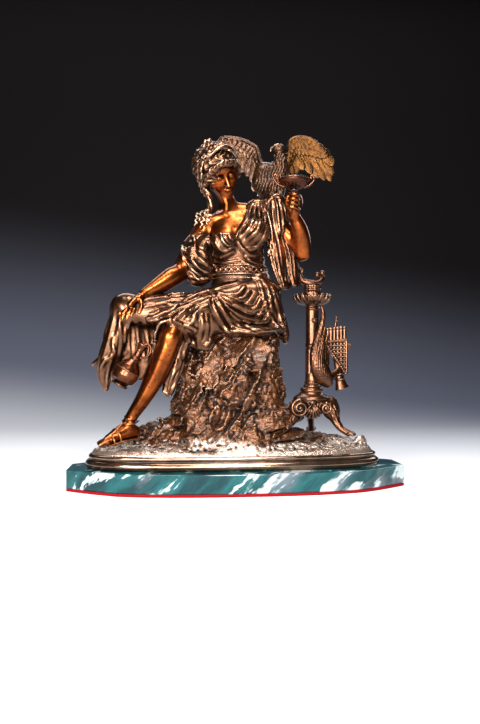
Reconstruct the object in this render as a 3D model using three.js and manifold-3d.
// A cast group: a seated, draped lady holds out a bowl to an eagle at her shoulder. She sits on a rock
// that is cast in one with a moulded oval plinth, beside a tripod stand. All of it is on a marble slab.
// Millimetres, +Z up, the origin on the underside at the slab's centre, and the lady faces -Y.

import * as THREE from 'three';
import { mergeVertices } from 'three/addons/utils/BufferGeometryUtils.js';
import Module from 'manifold-3d';

const wasm = await Module();
wasm.setup();

// Driving dimensions
const FIT = 0.3; // gap between pieces that touch
const SLAB = { halfLength: 247.5, halfDepth: 97.5, endHalf: 29, top: 31, bevel: 1.2 };
const FELT_TOP = 4;
const PLINTH = { centreX: -5, halfLength: 218.5, halfDepth: 72, bottom: SLAB.top + FIT, edge: 51 };
const PLINTH_SIDES = 28;
const ROCK_SIDES = 12;
const LIMB_SIDES = 6;
const FOLD_SIDES = 3;
const BLUNT = 0.3; // an end that bulges less than this share of its thickness has no ring of its own

// Colours and finishes
function finish(color, roughness, metalness) {
  return new THREE.MeshStandardMaterial({ color, roughness, metalness });
}
const FINISH = {
  felt: finish(0xb3201f, 0.95, 0),
  marble: finish(0x2c7c78, 0.2, 0),
  ground: finish(0x7a5a44, 0.5, 0.8),
  bronze: finish(0x6b3d1f, 0.38, 0.9),
  gold: finish(0x9a6a2c, 0.42, 0.9),
  dark: finish(0x4a3020, 0.4, 0.9),
};

// Turning a geometry into a solid that can be joined and cut
function solid(geometry) {
  const bare = geometry.clone();
  bare.deleteAttribute('normal');
  bare.deleteAttribute('uv');
  const merged = mergeVertices(bare, 1e-4);
  const vertProperties = new Float32Array(merged.attributes.position.array);
  const triVerts = new Uint32Array(merged.index.array);
  return new wasm.Manifold(new wasm.Mesh({ numProp: 3, vertProperties, triVerts }));
}

function join(solids) {
  return solids.reduce((sum, next) => sum.add(next));
}

function named(name, body, material) {
  const mesh = body.getMesh();
  const geometry = new THREE.BufferGeometry();
  geometry.setAttribute('position', new THREE.BufferAttribute(mesh.vertProperties, 3));
  geometry.setIndex(new THREE.BufferAttribute(mesh.triVerts, 1));
  geometry.computeVertexNormals();
  const node = new THREE.Mesh(geometry, material);
  node.name = name;
  return node;
}

// A rounded body along a smooth line. Each station is [x, y, z, halfWidth, halfThickness]. The width
// lies along `wide`, `steps` rings are made between two stations, and `square` under 1 squares the
// section. `flutes` and `depth` cut folds along it, and `round` is how far its ends bulge.
function loft(stations, options = {}) {
  const { sides = LIMB_SIDES, steps = 1, wide = [1, 0, 0], square = 1, flutes = 0, depth = 0 } = options;
  const { grow = 0, round = 0.6 } = options;
  const line = new THREE.CatmullRomCurve3(stations.map((s) => new THREE.Vector3(s[0], s[1], s[2])));
  const sizes = new THREE.CatmullRomCurve3(stations.map((s) => new THREE.Vector3(s[3], s[4], 0)));
  line.curveType = 'catmullrom';
  sizes.curveType = 'catmullrom';
  const positions = [];
  const wideWay = new THREE.Vector3(...wide);
  const ringCount = steps * (stations.length - 1) + 1;
  const rings = [];
  for (let i = 0; i < ringCount; i += 1) {
    const t = i / (ringCount - 1);
    const size = sizes.getPoint(t);
    const along = line.getTangent(t);
    const across = wideWay.clone().addScaledVector(along, -wideWay.dot(along)).normalize();
    const over = along.clone().cross(across);
    rings.push({ at: line.getPoint(t), along, across, over, a: size.x + grow, b: size.y + grow });
  }
  const capRing = (ring, way) => {
    const reach = round * Math.min(ring.a, ring.b);
    const at = ring.at.clone().addScaledVector(ring.along, way * reach * 0.7);
    return { ...ring, at, a: ring.a * 0.7, b: ring.b * 0.7 };
  };
  const first = rings[0];
  const last = rings[rings.length - 1];
  const all = round > BLUNT ? [capRing(first, -1), ...rings, capRing(last, 1)] : rings;
  const power = (value) => Math.sign(value) * Math.abs(value) ** square;
  for (const ring of all) {
    for (let j = 0; j < sides; j += 1) {
      const angle = (2 * Math.PI * j) / sides;
      const fold = 1 + depth * Math.cos(flutes * angle);
      const point = ring.at.clone();
      point.addScaledVector(ring.across, ring.a * fold * power(Math.cos(angle)));
      point.addScaledVector(ring.over, ring.b * fold * power(Math.sin(angle)));
      positions.push(point.x, point.y, point.z);
    }
  }
  const pole = (ring, way) => {
    const reach = round * Math.min(ring.a, ring.b);
    const point = ring.at.clone().addScaledVector(ring.along, way * reach);
    positions.push(point.x, point.y, point.z);
    return positions.length / 3 - 1;
  };
  const start = pole(first, -1);
  const end = pole(last, 1);
  const index = [];
  for (let i = 0; i < all.length - 1; i += 1) {
    for (let j = 0; j < sides; j += 1) {
      const k = (j + 1) % sides;
      const [p, q, r, s] = [i * sides + j, i * sides + k, (i + 1) * sides + k, (i + 1) * sides + j];
      index.push(p, q, r, p, r, s);
    }
  }
  const top = (all.length - 1) * sides;
  for (let j = 0; j < sides; j += 1) {
    const k = (j + 1) % sides;
    index.push(start, k, j, end, top + j, top + k);
  }
  const geometry = new THREE.BufferGeometry();
  geometry.setAttribute('position', new THREE.Float32BufferAttribute(positions, 3));
  geometry.setIndex(index);
  return solid(geometry);
}

// An egg shape, turned by angles about X, Y and Z in degrees. `ridge` raises every second meridian, and
// `floor` flattens it below a height.
function egg(at, radii, options = {}) {
  const { turn = [0, 0, 0], around = 8, up = 6, grow = 0, floor = -Infinity, ridge = 0 } = options;
  const geometry = new THREE.SphereGeometry(1, around, up);
  const wave = geometry.attributes.position;
  for (let i = 0; ridge && i < wave.count; i += 1) {
    const out = 1 + (i % (around + 1) % 2 ? -ridge : ridge);
    wave.setXYZ(i, wave.getX(i) * out, wave.getY(i), wave.getZ(i) * out);
  }
  geometry.scale(radii[0] + grow, radii[1] + grow, radii[2] + grow);
  const angles = turn.map((angle) => THREE.MathUtils.degToRad(angle));
  geometry.applyMatrix4(new THREE.Matrix4().makeRotationFromEuler(new THREE.Euler(...angles)));
  geometry.translate(...at);
  const place = geometry.attributes.position;
  for (let i = 0; i < place.count; i += 1) place.setZ(i, Math.max(place.getZ(i), floor));
  return solid(geometry);
}

// A hand-made closed mesh with its faces turned out
function outward(geometry) {
  const place = geometry.attributes.position;
  const [a, b, c] = [new THREE.Vector3(), new THREE.Vector3(), new THREE.Vector3()];
  const index = Array.from(geometry.index.array);
  let volume = 0;
  for (let i = 0; i < index.length; i += 3) {
    a.fromBufferAttribute(place, index[i]);
    b.fromBufferAttribute(place, index[i + 1]);
    c.fromBufferAttribute(place, index[i + 2]);
    volume += a.dot(b.cross(c));
  }
  if (volume < 0) {
    for (let i = 0; i < index.length; i += 3) [index[i], index[i + 1]] = [index[i + 1], index[i]];
    geometry.setIndex(index);
  }
  return solid(geometry);
}

// A turned body. The profile is [radius, height] pairs that start and end on the axis, which runs from
// `at` along `axis`.
function turned(profile, at, axis = [0, 0, 1], sides = 16) {
  const points = profile.map(([radius, height]) => new THREE.Vector2(radius, height));
  const geometry = new THREE.LatheGeometry(points, sides);
  const turn = new THREE.Quaternion().setFromUnitVectors(
    new THREE.Vector3(0, 1, 0),
    new THREE.Vector3(...axis).normalize(),
  );
  geometry.applyQuaternion(turn);
  geometry.translate(...at);
  return solid(geometry);
}

// Slab and felt: a long shallow arc front and back, drawn in to a cut end
function slabOutline(inset) {
  const end = SLAB.halfLength - inset;
  const half = SLAB.endHalf - inset;
  const bend = { x: 170, y: 79 - inset };
  const deep = SLAB.halfDepth - inset;
  const shape = new THREE.Shape();
  shape.moveTo(end, -half);
  shape.lineTo(end, half);
  shape.quadraticCurveTo(206, 62 - inset, bend.x, bend.y);
  shape.quadraticCurveTo(112, deep, 0, deep);
  shape.quadraticCurveTo(-112, deep, -bend.x, bend.y);
  shape.quadraticCurveTo(-206, 62 - inset, -end, half);
  shape.lineTo(-end, -half);
  shape.quadraticCurveTo(-206, inset - 62, -bend.x, -bend.y);
  shape.quadraticCurveTo(-112, -deep, 0, -deep);
  shape.quadraticCurveTo(112, -deep, bend.x, -bend.y);
  shape.quadraticCurveTo(206, inset - 62, end, -half);
  return shape;
}

function feltPad() {
  return solid(new THREE.ExtrudeGeometry(slabOutline(0), {
    depth: FELT_TOP, bevelEnabled: false, curveSegments: 3,
  }));
}

function marbleSlab() {
  const bevel = SLAB.bevel;
  const geometry = new THREE.ExtrudeGeometry(slabOutline(bevel), {
    depth: SLAB.top - FELT_TOP - FIT - 2 * bevel,
    bevelThickness: bevel, bevelSize: bevel, bevelSegments: 1, curveSegments: 3,
  });
  geometry.translate(0, 0, FELT_TOP + FIT + bevel);
  return solid(geometry);
}

// Plinth: one oval outline stacked at insets and heights, which gives the mouldings, and the stony
// ground goes on rising above its edge
const MOULDING = [
  [4, PLINTH.bottom], [0.4, 34.4], [0.4, 40.4], [6.6, 43.4], [4.6, 47.2], [8, PLINTH.edge],
];
const GROUND = [[12, 57], [34, 64]];

function ovalPoint(angle, inset) {
  const power = (value) => Math.sign(value) * Math.abs(value) ** 0.72;
  return [
    PLINTH.centreX + (PLINTH.halfLength - inset) * power(Math.cos(angle)),
    (PLINTH.halfDepth - inset) * power(Math.sin(angle)),
  ];
}

function plinthAndGround(grow) {
  const rings = [
    ...MOULDING.map(([inset, z]) => ({ inset, z, rough: 0 })),
    ...GROUND.map(([inset, z], row) => ({ inset, z, rough: 1.6 + 0.5 * row })),
  ];
  const positions = [];
  for (const { inset, z, rough } of rings) {
    for (let j = 0; j < PLINTH_SIDES; j += 1) {
      const angle = (2 * Math.PI * j) / PLINTH_SIDES;
      const wave = rough * (Math.sin(5 * angle + 0.3 * inset) + Math.sin(11 * angle + inset)) * 0.5;
      const [x, y] = ovalPoint(angle, inset - (rough ? wave * 0.8 + grow : 0));
      positions.push(x, y, z + wave + (rough ? grow : 0));
    }
  }
  const middle = [[PLINTH.centreX, 0, PLINTH.bottom], [PLINTH.centreX, 0, 70 + grow]];
  middle.forEach((point) => positions.push(...point));
  const bottom = rings.length * PLINTH_SIDES;
  const index = [];
  for (let j = 0; j < PLINTH_SIDES; j += 1) {
    const k = (j + 1) % PLINTH_SIDES;
    index.push(bottom, k, j);
    for (let i = 0; i < rings.length - 1; i += 1) {
      const low = i * PLINTH_SIDES;
      const high = low + PLINTH_SIDES;
      index.push(low + j, low + k, high + k, low + j, high + k, high + j);
    }
    const rim = (rings.length - 1) * PLINTH_SIDES;
    index.push(bottom + 1, rim + j, rim + k);
  }
  const geometry = new THREE.BufferGeometry();
  geometry.setAttribute('position', new THREE.Float32BufferAttribute(positions, 3));
  geometry.setIndex(index);
  return solid(geometry);
}

// Rock seat: rings from the flared foot to the seat, each wavering with deep upright clefts
const ROCK = [
  [-4, 2, 50, 122, 62], [-5, 2, 72, 112, 55], [-12, 3, 98, 95, 49], [-12, 4, 128, 86, 46],
  [-9, 4, 165, 77, 44], [-5, 4, 205, 66, 43], [-3, 4, 240, 60, 41], [-2, 4, 258, 52, 36],
];

function rockSeat(grow) {
  const positions = [];
  ROCK.forEach(([cx, cy, z, a, b], row) => {
    for (let j = 0; j < ROCK_SIDES; j += 1) {
      const angle = (2 * Math.PI * j) / ROCK_SIDES;
      const cleft = 1 + 0.035 * Math.cos(9 * angle + 0.5 * row) + 0.025 * Math.sin(4 * angle + 1.9 * row);
      const x = cx + (a * cleft + grow) * Math.cos(angle);
      positions.push(x, cy + (b * cleft + grow) * Math.sin(angle), z);
    }
  });
  const rows = ROCK.length;
  positions.push(ROCK[0][0], ROCK[0][1], ROCK[0][2], ROCK[rows - 1][0], ROCK[rows - 1][1], 262 + grow);
  const base = rows * ROCK_SIDES;
  const index = [];
  for (let j = 0; j < ROCK_SIDES; j += 1) {
    const k = (j + 1) % ROCK_SIDES;
    index.push(base, k, j);
    for (let i = 0; i < rows - 1; i += 1) {
      const [low, high] = [i * ROCK_SIDES, (i + 1) * ROCK_SIDES];
      index.push(low + j, low + k, high + k, low + j, high + k, high + j);
    }
    index.push(base + 1, base - ROCK_SIDES + j, base - ROCK_SIDES + k);
  }
  const geometry = new THREE.BufferGeometry();
  geometry.setAttribute('position', new THREE.Float32BufferAttribute(positions, 3));
  geometry.setIndex(index);
  return solid(geometry);
}

// Low banks of rock: behind the foot at the left, under the tripod, and the lump at the right end
const BANKS = [
  { at: [-98, 10, 58], radii: [74, 44, 40] },
  { at: [104, 6, 54], radii: [78, 46, 23] },
  { at: [184, -14, 58], radii: [13, 11, 18] },
];
const BANK_FLOOR = 48; // the banks start inside the plinth

function terrace(grow = 0) {
  const banks = BANKS.map(({ at, radii }) => egg(at, radii, { around: 9, up: 6, grow, floor: BANK_FLOOR }));
  return join([plinthAndGround(grow), rockSeat(grow), ...banks]);
}

// Lady: places of the joints of her body, right and left as her own
const BODY = {
  pelvis: [4, 4, 272],
  waist: [4, 4, 324],
  chest: [0, -1, 378],
  neck: [-12, 5, 410],
  head: [-28.5, -9, 468],
  shoulderRight: [-47, 6, 388],
  elbowRight: [-84, -12, 318],
  wristRight: [-138, -40, 281],
  shoulderLeft: [42, 10, 412],
  elbowLeft: [98, -6, 347],
  wristLeft: [77, -35, 404],
  kneeRight: [-166, -30, 270],
  kneeLeft: [-98, -48, 224],
  ankleLeft: [-157, -36, 102],
};
const HEAD_UP = new THREE.Vector3(-0.3, -0.2, 0.93).normalize();
const HEAD_FRONT = new THREE.Vector3(0.3, -0.92, -0.1).projectOnPlane(HEAD_UP).normalize();
const HEAD_SIDE = HEAD_UP.clone().cross(HEAD_FRONT);

// A place on the head from sideways, forward and upward distances
function onHead(side, front, up) {
  const point = new THREE.Vector3(...BODY.head);
  point.addScaledVector(HEAD_SIDE, side);
  point.addScaledVector(HEAD_FRONT, front);
  point.addScaledVector(HEAD_UP, up);
  return point.toArray();
}

function headEgg(place, radii, grow, detail = {}) {
  const basis = new THREE.Matrix4().makeBasis(HEAD_SIDE, HEAD_FRONT.clone().negate(), HEAD_UP);
  const turn = new THREE.Euler().setFromRotationMatrix(basis);
  const degrees = [turn.x, turn.y, turn.z].map((angle) => THREE.MathUtils.radToDeg(angle));
  return egg(onHead(...place), radii, { turn: degrees, grow, ...detail });
}

function head(grow) {
  return [
    headEgg([0, -1, 4], [27, 31, 34], grow, { around: 8, up: 6 }),
    headEgg([0, 9, -15], [19, 20, 23], grow, { around: 7, up: 5 }),
    headEgg([0, 29, -9], [3.4, 4.4, 8.6], grow, { around: 5, up: 3 }),
    headEgg([0, 22, -33], [6.4, 5.4, 5.4], grow, { around: 5, up: 3 }),
    loft([[...BODY.neck, 17, 16], [-15, 1, 424, 13.5, 14], [...onHead(0, -4, -16), 14, 15]], { grow, round: 0.1 }),
  ];
}

// Hair: a waved cap set back from the face, a knot behind and a lock that falls on the shoulder
const CAP = { front: -5, up: 10, radii: [32.5, 33, 32], locks: 6, wave: 0.06 };

function capRadius(front) {
  return CAP.radii[0] * Math.sqrt(1 - ((front - CAP.front) / CAP.radii[1]) ** 2);
}

// The cap's meridians run from front to back, so each is a lock of hair
function hairCap(grow) {
  const basis = new THREE.Matrix4().makeBasis(HEAD_SIDE, HEAD_UP, HEAD_FRONT);
  const turn = new THREE.Euler().setFromRotationMatrix(
    basis.multiply(new THREE.Matrix4().makeRotationX(Math.PI / 2)),
  );
  const degrees = [turn.x, turn.y, turn.z].map((angle) => THREE.MathUtils.radToDeg(angle));
  const [side, front, up] = CAP.radii;
  return egg(onHead(0, CAP.front, CAP.up), [side, front, up],
    { turn: degrees, grow, around: 2 * CAP.locks, up: 5, ridge: CAP.wave });
}

function hair(grow) {
  return [
    hairCap(grow),
    headEgg([0, -37, -2], [15, 13, 14], grow, { around: 6, up: 4 }),
    loft([
      [...onHead(-27, -2, -10), 7, 7], [-57, -8, 446, 7, 7], [-50, -6, 426, 6, 6], [-53, -10, 404, 6.5, 6],
      [-57, -12, 392, 5, 4.5],
    ], { sides: 5, grow, round: 0.3 }),
  ];
}

// Wreath: a row of leaves over the head from side to side, and a flower at the top
function wreath(grow) {
  const stations = [];
  const leaves = 4;
  for (let i = 0; i <= 2 * leaves; i += 1) {
    const angle = Math.PI * (0.02 + (0.96 * i) / (2 * leaves));
    const front = 2 + 5 * Math.sin(angle);
    const leaf = i % 2 === 1;
    const reach = capRadius(front) + (leaf ? 4 : 0.5);
    const place = onHead(reach * Math.cos(angle), front, CAP.up + reach * Math.sin(angle));
    stations.push([...place, leaf ? 8 : 4.5, leaf ? 5 : 3]);
  }
  return [
    loft(stations, { sides: 4, wide: HEAD_FRONT.toArray(), round: 0.2, grow }),
    headEgg([-2, 8, CAP.up + 34], [10, 9, 9], grow, { around: 6, up: 4 }),
  ];
}

function torso(grow) {
  return [
    loft([
      [6, 5, 292, 50, 34], [4, 4, 324, 41, 29], [1, 0, 350, 41, 29],
      [-1, -1, 378, 45, 28], [-5, 5, 400, 42, 20], [...BODY.neck, 20, 14],
    ], { sides: 9, round: 0.1, grow }),
    loft([[-50, 6, 386, 15, 17], [-22, 6, 404, 12, 15], [10, 8, 415, 12, 15], [42, 10, 413, 16, 17]],
      { wide: [0, 0, 1], round: 0.1, grow }),
    egg([-21, -20, 363], [19, 17, 20], { around: 6, up: 5, grow }),
    egg([25, -20, 376], [20, 18, 21], { around: 6, up: 5, grow }),
    loft([[4, 3, 313, 46, 33], [4, 3, 329, 43, 31]], { sides: 8, grow, round: 0.05 }),
  ];
}

function arms(grow) {
  return [
    loft([
      [...BODY.shoulderRight, 17, 17], [...BODY.elbowRight, 14.5, 14], [-102, -22, 304, 14, 13],
      [-122, -33, 290, 10.5, 10], [...BODY.wristRight, 8, 7.5], [-150, -46, 268, 13, 7], [-164, -50, 240, 9, 5],
    ], { wide: [0.5, 0.8, 0], grow }),
    loft([[...BODY.shoulderLeft, 18, 17], [70, 3, 384, 17, 16], [...BODY.elbowLeft, 14, 14.5]],
      { wide: [0, 1, 0], grow }),
    loft([
      [...BODY.elbowLeft, 13, 14], [95, -15, 363, 13.5, 13], [89, -26, 383, 11, 10.5], [...BODY.wristLeft, 8, 7.5],
      [79, -40, 420, 10, 8], [79.5, -41, 434, 8, 8],
    ], { wide: [1, 0, 0], sides: 7, grow }),
    loft([[-48, 2, 372, 18, 18], [-60, -4, 352, 26, 24], [-64, -8, 326, 26, 22], [-58, -10, 306, 18, 15]],
      { sides: 8, flutes: 4, depth: 0.1, grow, round: 0.2 }),
  ];
}

// Her left leg is bare from the knee down, and a sandal sole shows under the foot
function legs(grow) {
  return [
    loft([
      [...BODY.kneeLeft, 17, 19], [-103, -50, 207, 16.5, 18], [-118, -46, 176, 16, 16.5],
      [-137, -41, 134, 13, 13.5], [...BODY.ankleLeft, 9.5, 10], [-160, -35, 88, 9, 11],
    ], { sides: 8, grow, round: 0.4 }),
    loft([
      [-146, -28, 82, 8, 11], [-162, -35, 86, 11, 14], [-179, -42, 77, 12, 10], [-203, -51, 66.5, 11, 5],
    ], { wide: [-0.4, 0.9, 0], grow, round: 0.4 }),
  ];
}

// Skirt over the right thigh, from her left hip to her right knee, and over the left thigh, as squared
// sections: [x, y, z, half height, half depth]
const SKIRT = [
  [68, 0, 240, 20, 24], [54, 2, 262, 40, 39], [20, -1, 266, 42, 46],
  [-30, -8, 261, 38, 42], [-90, -18, 258, 28, 30], [-138, -27, 261, 25, 26], [-168, -29, 264, 22, 21],
];
const THIGH = [[6, -18, 258, 30, 26], [-32, -28, 256, 34, 28], [-68, -38, 246, 32, 26], [-100, -46, 240, 23, 23]];
const SKIRT_SQUARE = 0.66;

// Front of one run of sections at a place across and a height, or nothing beyond it
function frontOf(stations, x, z) {
  const next = stations.findIndex((station) => station[0] <= x);
  if (next < 1) return Infinity;
  const [from, to] = [stations[next - 1], stations[next]];
  const share = (x - from[0]) / (to[0] - from[0]);
  const [, y, middle, half, deep] = from.map((value, i) => value + share * (to[i] - value));
  const power = 2 / SKIRT_SQUARE;
  const off = Math.abs(z - middle) / half;
  return off < 1 ? y - deep * (1 - off ** power) ** (1 / power) : Infinity;
}

// A fold that stands on the skirt's front with its edge outward: [x, z] places and its size in the middle
function skirtFold({ places, width, lift = 0 }, grow) {
  const last = places.length - 1;
  const stations = places.map(([x, z], i) => {
    const swell = width * (0.45 + 0.55 * Math.sin((Math.PI * (i + 0.4)) / (last + 0.8)));
    const front = Math.min(frontOf(SKIRT, x, z), frontOf(THIGH, x, z), -28);
    return [x, front + 0.25 * swell - lift, z, swell * 1.35, swell * 1.1];
  });
  return loft(stations, { sides: FOLD_SIDES, wide: [0, -1, 0], round: 0.2, grow });
}

const KNOT = [-44, 285];
const FOLDS = [
  { places: [KNOT, [-10, 290], [6, 303]], width: 4.5 },
  { places: [KNOT, [-4, 272], [18, 286]], width: 5.5 },
  { places: [KNOT, [6, 257], [36, 274]], width: 6 },
  { places: [KNOT, [0, 243], [28, 229], [62, 222]], width: 6.5 },
  { places: [KNOT, [-24, 256], [-8, 230]], width: 7 },
  { places: [KNOT, [-60, 262], [-72, 222]], width: 7 },
  { places: [KNOT, [-78, 268], [-100, 252]], width: 7 },
  { places: [[-60, 280], [-98, 284], [-146, 270]], width: 7 },
];

// Cloth that falls from the left knee beside the shin, ending in a rounded bulge
const FALL = [[-66, -46, 240, 15, 9], [-74, -48, 205, 19, 9], [-84, -47, 170, 19, 9], [-95, -46, 142, 16, 7]];

function skirt(grow) {
  return [
    loft(SKIRT, { sides: 8, wide: [0, 0, 1], square: SKIRT_SQUARE, round: 0.4, grow }),
    loft(THIGH, { sides: 8, wide: [0, 0, 1], square: SKIRT_SQUARE, round: 0.4, grow }),
    ...FOLDS.map((fold) => skirtFold(fold, grow)),
    loft([[64, 0, 250, 18, 28], [71, -2, 224, 11, 20]], { round: 0.3, grow }),
    loft(FALL, { sides: 8, flutes: 4, depth: 0.16, round: 0.3, grow }),
  ];
}

// Plain folds down the back of the bodice and round the back of the skirt
const BACK_FOLDS = [
  [[-38, 22, 398, 6, 5], [-22, 30, 360, 6, 6], [-10, 34, 326, 4, 4]],
  [[36, 26, 404, 6, 5], [24, 32, 362, 6, 6], [14, 34, 326, 4, 4]],
  [[-8, 36, 308, 5, 6], [-22, 44, 276, 8, 7], [-40, 38, 238, 5, 5]],
  [[14, 36, 308, 5, 6], [18, 46, 272, 8, 7], [16, 44, 236, 5, 5]],
  [[36, 34, 306, 5, 6], [54, 42, 274, 8, 7], [62, 30, 234, 5, 5]],
];

function backFolds(grow) {
  return BACK_FOLDS.map((stations) => loft(stations, { sides: 4, wide: [1, 0, 0], round: 0.2, grow }));
}

// Drape over the crossed knee: it falls from the knee in upright folds to a pointed tail with a corner
// turned out, and a wide panel hangs behind the ewer as far as the shin
function kneeDrape(grow) {
  return [
    loft([
      [-165, -30, 270, 20, 20], [-170, -30, 245, 16, 19], [-178, -29, 217, 17, 16],
      [-188, -28, 190, 18, 13], [-195, -24, 168, 12, 8], [-192, -20, 145, 3, 3],
    ], { sides: 8, flutes: 4, depth: 0.15, grow, round: 0.2 }),
    loft([[-186, -24, 196, 9, 10], [-202, -22, 187, 6, 6], [-212, -20, 181, 2, 2]],
      { sides: 5, wide: [0, 0, 1], round: 0.2, grow }),
    loft([[-142, -26, 256, 28, 18], [-146, -25, 226, 36, 12], [-150, -24, 190, 37, 11], [-154, -22, 163, 28, 8]],
      { sides: 6, flutes: 3, depth: 0.08, grow, round: 0.2 }),
  ];
}

// Cloth that hangs from the left shoulder between the body and the arm, in pleats
function shoulderDrape(grow) {
  return [
    egg([52, 8, 404], [26, 19, 20], { around: 7, up: 5, grow }),
    loft([[50, 0, 400, 19, 14], [60, -8, 356, 16, 12], [70, -13, 318, 18, 9], [74, -14, 297, 9, 5]],
      { sides: 8, flutes: 4, depth: 0.14, round: 0.1, grow }),
    loft([[28, -8, 420, 9, 7], [22, -26, 396, 12, 7], [8, -32, 372, 9, 6]], { sides: 6, round: 0.2, grow }),
  ];
}

function lady(grow = 0) {
  return join([
    ...torso(grow), ...head(grow), ...hair(grow), ...wreath(grow), ...arms(grow), ...legs(grow),
    ...skirt(grow), ...kneeDrape(grow), ...shoulderDrape(grow), ...backFolds(grow),
  ]);
}

// A wing as one plate: feathers run side by side from points on a leading edge to points on a trailing
// edge, each with a raised middle, and the trailing edge is drawn in between them
function wing(leading, trailing, count, grow) {
  const edge = new THREE.CatmullRomCurve3(leading.map((point) => new THREE.Vector3(...point)));
  const end = new THREE.CatmullRomCurve3(trailing.map((point) => new THREE.Vector3(...point)));
  const columns = 2 * count + 1;
  const rows = [
    { share: -0.04, thick: 2.5 }, { share: 0.12, thick: 4 }, { share: 0.6, thick: 2 }, { share: 1, thick: 1.2 },
  ];
  const positions = [];
  for (const face of [-1, 1]) {
    for (const { share, thick } of rows) {
      for (let i = 0; i < columns; i += 1) {
        const t = i / (columns - 1);
        const valley = i % 2 === 0;
        const reach = share * (valley ? 0.88 : 1);
        const point = edge.getPoint(t).lerp(end.getPoint(t), reach);
        const ridge = valley ? 0 : 1.8 * share;
        positions.push(point.x, point.y + face * (thick + ridge + grow), point.z);
      }
    }
  }
  const index = [];
  const half = rows.length * columns;
  const at = (face, row, column) => face * half + row * columns + column;
  const quad = (a, b, c, d) => index.push(a, b, c, a, c, d);
  for (let i = 0; i < columns - 1; i += 1) {
    for (let row = 0; row < rows.length - 1; row += 1) {
      quad(at(0, row, i), at(0, row, i + 1), at(0, row + 1, i + 1), at(0, row + 1, i));
      quad(at(1, row, i), at(1, row + 1, i), at(1, row + 1, i + 1), at(1, row, i + 1));
    }
    const low = rows.length - 1;
    quad(at(0, 0, i + 1), at(0, 0, i), at(1, 0, i), at(1, 0, i + 1));
    quad(at(0, low, i), at(0, low, i + 1), at(1, low, i + 1), at(1, low, i));
  }
  for (let row = 0; row < rows.length - 1; row += 1) {
    const far = columns - 1;
    quad(at(0, row, 0), at(0, row + 1, 0), at(1, row + 1, 0), at(1, row, 0));
    quad(at(0, row + 1, far), at(0, row, far), at(1, row, far), at(1, row + 1, far));
  }
  const geometry = new THREE.BufferGeometry();
  geometry.setAttribute('position', new THREE.Float32BufferAttribute(positions, 3));
  geometry.setIndex(index);
  return outward(geometry);
}

// Eagle: body, head with a hooked beak, a tail that hangs behind, two feet and the raised wings
function eagle(grow = 0) {
  return join([
    loft([
      [64, 12, 506, 6.5, 6.5], [67, 15, 490, 9, 9], [66, 16, 474, 15, 14], [58, 18, 456, 16, 14],
      [50, 26, 434, 11, 8], [46, 42, 398, 13, 3.5],
    ], { sides: 7, round: 0.3, grow }),
    egg([65, 10, 510], [8, 7.5, 6.5], { around: 7, up: 5, grow }),
    loft([[61, 8, 510, 3.6, 4], [54, 4, 508.5, 2.4, 2.8], [51, 2, 503.5, 1, 1.2]], { sides: 4, round: 0.1, grow }),
    loft([[57, 8, 452, 7, 7], [51, 3, 436, 4, 4], [49, 0, 419, 5.5, 5.5]], { sides: 5, round: 0.2, grow }),
    loft([[66, 8, 452, 7, 7], [68, 3, 436, 4, 4], [67, 0, 416, 5.5, 5.5]], { sides: 5, round: 0.2, grow }),
    wing(
      [[50, 20, 484], [33, 32, 500], [30, 37, 520], [8, 42, 532], [-18, 46, 537]],
      [[50, 20, 452], [34, 28, 456], [16, 36, 470], [-4, 42, 490], [-26, 46, 514]], 6, grow,
    ),
    wing(
      [[72, 20, 484], [83, 27, 504], [84, 30, 530], [102, 30, 538], [126, 27, 531], [140, 24, 512]],
      [[72, 20, 464], [94, 24, 478], [108, 26, 486], [124, 23, 472], [142, 21, 464], [152, 21, 486]], 7, grow,
    ),
  ]);
}

// Drinking bowl: a wide hollow bowl on a short foot, with two handles that curl up
const BOWL = { at: [79, -41, 433], radius: 22.5, depth: 17, wall: 2, sides: 14 };

function bowlBody(grow) {
  const { radius, depth } = BOWL;
  return turned([
    [0, -grow], [6 + grow, -grow], [3.6 + grow, 5], [10 + grow, 9 - grow], [radius * 0.84 + grow, 12 - grow],
    [radius + grow, depth], [0, depth],
  ], BOWL.at, [0, 0, 1], BOWL.sides);
}

function bowlHandle(way, grow) {
  const [x, y, z] = BOWL.at;
  const rim = x + way * (BOWL.radius - 2);
  return loft([
    [rim - way, y, z + 12, 2.2, 2.2], [rim + way * 5, y, z + 13.5, 2, 2], [rim + way * 9, y, z + 18, 2, 2],
    [rim + way * 8, y, z + 23, 2.2, 2.2], [rim + way * 4.5, y, z + 22, 1.8, 1.8],
  ], { sides: 5, wide: [0, 1, 0], round: 0.2, grow });
}

function drinkingBowl() {
  const { radius, depth, wall } = BOWL;
  const hollow = turned([
    [0, 9.5], [9, 11], [radius * 0.84 - wall * 0.4, 13.8], [radius - wall, depth + 0.5], [0, depth + 0.5],
  ], BOWL.at, [0, 0, 1], BOWL.sides);
  const outside = join([bowlBody(0), bowlHandle(-1, 0), bowlHandle(1, 0)]);
  return outside.subtract(hollow);
}

function bowlRoom() {
  return join([bowlBody(FIT), bowlHandle(-1, FIT), bowlHandle(1, FIT)]);
}

// Ewer: foot ring, round hollow belly, narrow neck, flared mouth and a ring handle
const EWER = { foot: [-172, -46, 151], mouth: [-137.5, -46, 209], belly: 19, sides: 10 };

function ewerBody(grow) {
  const axis = new THREE.Vector3(...EWER.mouth).sub(new THREE.Vector3(...EWER.foot));
  const length = axis.length();
  return turned([
    [0, -grow], [12 + grow, -grow], [12 + grow, 3.4], [14.5 + grow, 7], [EWER.belly + grow, 20],
    [EWER.belly * 0.8 + grow, 33], [6.5 + grow, 42], [4.6 + grow, 50], [5 + grow, length - 8],
    [8.6 + grow, length + grow], [0, length + grow],
  ], EWER.foot, axis.toArray(), EWER.sides);
}

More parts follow.
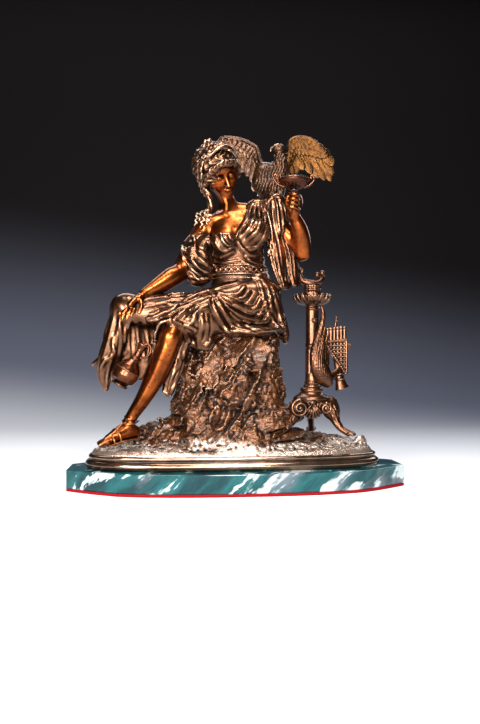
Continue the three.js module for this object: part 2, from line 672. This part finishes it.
function ewerHandle(grow) {
  return loft([
    [-139, -46, 207, 2, 2], [-131, -46, 210, 1.8, 1.8], [-127, -46, 203, 1.8, 1.8], [-130, -46, 194, 1.8, 1.8],
    [-146, -46, 192, 2, 2],
  ], { sides: 5, wide: [0, 1, 0], round: 0.2, grow });
}

function ewer() {
  const axis = new THREE.Vector3(...EWER.mouth).sub(new THREE.Vector3(...EWER.foot));
  const length = axis.length();
  const inside = turned([
    [0, 5], [11, 9], [EWER.belly - 2.2, 20], [EWER.belly * 0.8 - 2.4, 32], [4.4, 41], [3, 50],
    [3.3, length - 8], [6.8, length + 1], [0, length + 1],
  ], EWER.foot, axis.toArray(), EWER.sides);
  return join([ewerBody(0), ewerHandle(0)]).subtract(inside);
}

function ewerRoom() {
  return join([ewerBody(FIT), ewerHandle(FIT)]);
}

// Tripod stand: a domed top on three legs with lion paws, a volute at each front hip and a shell
const TRIPOD = { at: [112, -4], top: 146 };

function tripodLeg(hip, knee, paw, grow = 0) {
  const middle = knee.map((value, i) => value + 0.55 * (paw[i] - value));
  return [
    loft([[...hip, 11, 12], [...knee, 12, 12], [...middle, 6, 6], [...paw, 8, 7]], { sides: 5, grow, round: 0.2 }),
    egg([paw[0], paw[1] - 2, paw[2] - 1], [10, 9, 6.5], { around: 6, up: 4, grow }),
  ];
}

// A round volute seen from the front, with its eye and outer roll raised
function volute(at, radius) {
  return turned([
    [0, -7], [radius, -5], [radius, 5], [0.75 * radius, 6.5], [0.55 * radius, 3.5], [0.3 * radius, 7], [0, 7.5],
  ], at, [0, -1, 0], 8);
}

// The shell: one fan with seven flutes, narrow at the top
function shell([x, y, z]) {
  return loft([[x, y, z, 3, 4], [x, y - 3, z - 11, 14, 4.5], [x, y - 4, z - 20, 20, 5]],
    { sides: 14, flutes: 7, depth: 0.12, round: 0.2 });
}

function tripodDome(grow) {
  const [x, y] = TRIPOD.at;
  const top = TRIPOD.top + grow;
  return turned([
    [0, 112 - grow], [24 + grow, 112 - grow], [33 + grow, 124], [28 + grow, 137 + grow],
    [17 + grow, 141 + grow], [15 + grow, top], [0, top],
  ], [x, y, 0], [0, 0, 1], 10);
}

function tripodStand() {
  return join([
    tripodDome(0),
    ...tripodLeg([88, -16, 116], [83, -26, 99], [53, -46, 80]),
    ...tripodLeg([134, -12, 120], [141, -18, 100], [163, -30, 78]),
    ...tripodLeg([112, 18, 116], [116, 30, 98], [122, 46, 80]),
    volute([88, -26, 117], 12),
    volute([127, -26, 118], 8.5),
    shell([106, -30, 123]),
  ]).subtract(terrace(FIT));
}

// Column: a plain shaft with a boss, a leafy drip pan and a boat-shaped lamp with scrolled ends
const COLUMN = { at: [114, 0], shaft: 9, panRadius: 28, leaves: 8 };

function columnBody(grow) {
  const [x, y] = COLUMN.at;
  const lift = TRIPOD.top + FIT;
  const { shaft } = COLUMN;
  return turned([
    [0, lift - grow], [13 + grow, lift - grow], [12 + grow, lift + 4], [shaft + 1.5 + grow, lift + 7],
    [shaft + grow, lift + 60], [shaft - 0.6 + grow, 262], [shaft + 2 + grow, 270], [14 + grow, 278],
    [14 + grow, 286], [12.5 + grow, 288], [12.5 + grow, 301 + grow], [0, 301 + grow],
  ], [x, y, 0], [0, 0, 1], 9);
}

// The drip pan: a shallow dish whose rim runs in and out in leaves
function dripPan(grow) {
  const { at: [x, y], panRadius, leaves } = COLUMN;
  const sides = 2 * leaves;
  const profile = [[0, 274], [0.72 * panRadius, 279], [panRadius, 284.5], [0, 284]];
  const geometry = new THREE.LatheGeometry(profile.map(([r, z]) => new THREE.Vector2(r + (r ? grow : 0), z)), sides);
  geometry.rotateX(Math.PI / 2);
  const place = geometry.attributes.position;
  for (let i = 0; i < place.count; i += 1) {
    const radius = Math.hypot(place.getX(i), place.getY(i));
    const between = Math.floor(i / profile.length) % 2 === 1;
    const draw = between && radius > 0.8 * panRadius ? 0.84 : 1;
    const lift = place.getZ(i) > 282 ? grow : -grow;
    place.setXYZ(i, place.getX(i) * draw + x, place.getY(i) * draw + y, place.getZ(i) + lift);
  }
  return solid(geometry);
}

function column(grow = 0) {
  return join([
    columnBody(grow),
    dripPan(grow),
    loft([
      [95, 0, 309, 3, 6], [99, 0, 303, 6, 12], [112, 0, 302, 7, 15], [126, 0, 304, 6, 12], [132, 0, 308, 3.5, 6],
    ], { sides: 8, wide: [0, 0, 1], round: 0.3, grow }),
    loft([[95, 0, 306, 3, 4], [94, 0, 316, 2.6, 3.4], [99, 0, 321, 2.4, 3]],
      { sides: 5, wide: [0, 1, 0], round: 0.2, grow }),
    egg([126, -3, 313.5], [5.5, 5.5, 5.5], { around: 6, up: 4, grow }),
    egg([116, -9, 247], [4, 4, 4.6], { around: 6, up: 4, grow }),
  ]);
}

// Swan: a long neck against the shaft, a feathered body and a raised wing
function swanLyre(grow = 0) {
  return join([
    loft([
      [127, -12, 268, 2.2, 2.6], [127, -13, 254, 3, 3.2], [125, -14, 236, 3.6, 3.6], [118, -16, 212, 5, 4.6],
      [113, -18, 192, 7, 6.6], [116, -18, 176, 11, 9], [128, -16, 162, 15, 12], [136, -13, 152, 10, 10],
    ], { sides: 6, grow }),
    loft([[122, -14, 166, 10, 7], [129, -15, 188, 9, 5], [130, -15, 208, 5, 3], [128, -15, 224, 2, 2]],
      { sides: 5, round: 0.2, grow }),
    loft([[130, -14, 160, 9, 9], [128, -12, 150, 8, 8], [124, -12, 140, 10, 9]], { sides: 6, round: 0.2, grow }),
    loft([[132, -14, 160, 9, 9], [146, -9, 165, 8, 7], [155, -6, 178, 4, 4]],
      { sides: 5, wide: [0, 1, 0], round: 0.2, grow }),
  ]);
}

// Pipes in a row that grow longer to the right, held by two bands, and a horn whose mouth flares
const PIPES = { count: 6, left: 137, pitch: 5.2, radius: 3.1, top: 236, low: 212, drop: 1.5, y: -4 };

// The row of pipes as one fluted block whose foot slants down to the right
function pipeRow() {
  const { count, left, pitch, radius, top, low, drop, y } = PIPES;
  const outline = [];
  for (const side of [-1, 1]) {
    for (let i = 0; i < count; i += 1) {
      const pipe = side < 0 ? i : count - 1 - i;
      for (const turn of [-1, 0]) {
        const x = left + pitch * pipe - side * 0.5 * pitch * turn;
        outline.push([x, y + side * radius * (turn ? 0.45 : 1)]);
      }
    }
  }
  const positions = [];
  for (const [x, depth] of outline) positions.push(x, depth, low - drop * (x - left));
  for (const [x, depth] of outline) positions.push(x, depth, top + 0.1 * (x - left));
  const n = outline.length;
  const faces = THREE.ShapeUtils.triangulateShape(outline.map(([x, z]) => new THREE.Vector2(x, z)), []);
  const index = [];
  faces.forEach(([i, j, k]) => index.push(i, k, j, n + i, n + j, n + k));
  for (let i = 0; i < n; i += 1) {
    const j = (i + 1) % n;
    index.push(i, j, n + j, i, n + j, n + i);
  }
  const geometry = new THREE.BufferGeometry();
  geometry.setAttribute('position', new THREE.Float32BufferAttribute(positions, 3));
  geometry.setIndex(index);
  return outward(geometry);
}

function panPipes() {
  const { count, left, pitch, y } = PIPES;
  const right = left + pitch * (count - 1);
  const band = (from, to, half) => loft([[...from, half, 5], [...to, half, 5]],
    { sides: 4, wide: [0, 0, 1], square: 0.4, round: 0.1 });
  return join([
    pipeRow(),
    band([left - 2, y, 206], [right + 2, y, 214], 3.4),
    band([left - 3, y, 209], [right + 1, y, 176], 3.8),
    loft([[149, y, 230, 3, 3], [150, y, 247, 3.4, 3], [151, y, 254, 1.5, 1.5]], { sides: 5, round: 0.2 }),
    loft([[150, -3, 192, 5, 5], [154, -3, 166, 7, 7], [157, -3, 150, 8.5, 8.5], [160, -3, 144, 12, 11]],
      { sides: 6, round: 0.15 }),
  ]);
}

// Fitting the pieces together: cloth gives way to what it carries, and figures give way to the ground
const eagleBody = eagle();
const ladyBody = lady()
  .subtract(terrace(FIT))
  .subtract(eagle(FIT))
  .subtract(bowlRoom())
  .subtract(ewerRoom());
const columnSolid = column();
const swanBody = swanLyre().subtract(column(FIT)).subtract(tripodDome(FIT));
const pipesBody = panPipes().subtract(swanLyre(FIT)).subtract(column(FIT));

const group = new THREE.Group();
group.add(named('felt_pad', feltPad(), FINISH.felt));
group.add(named('marble_slab', marbleSlab(), FINISH.marble));
group.add(named('terrace', terrace(), FINISH.ground));
group.add(named('lady', ladyBody, FINISH.bronze));
group.add(named('eagle', eagleBody, FINISH.gold));
group.add(named('drinking_bowl', drinkingBowl(), FINISH.bronze));
group.add(named('ewer', ewer(), FINISH.bronze));
group.add(named('tripod_stand', tripodStand(), FINISH.dark));
group.add(named('column', columnSolid, FINISH.bronze));
group.add(named('swan_lyre', swanBody, FINISH.dark));
group.add(named('pan_pipes', pipesBody, FINISH.dark));

export default group;
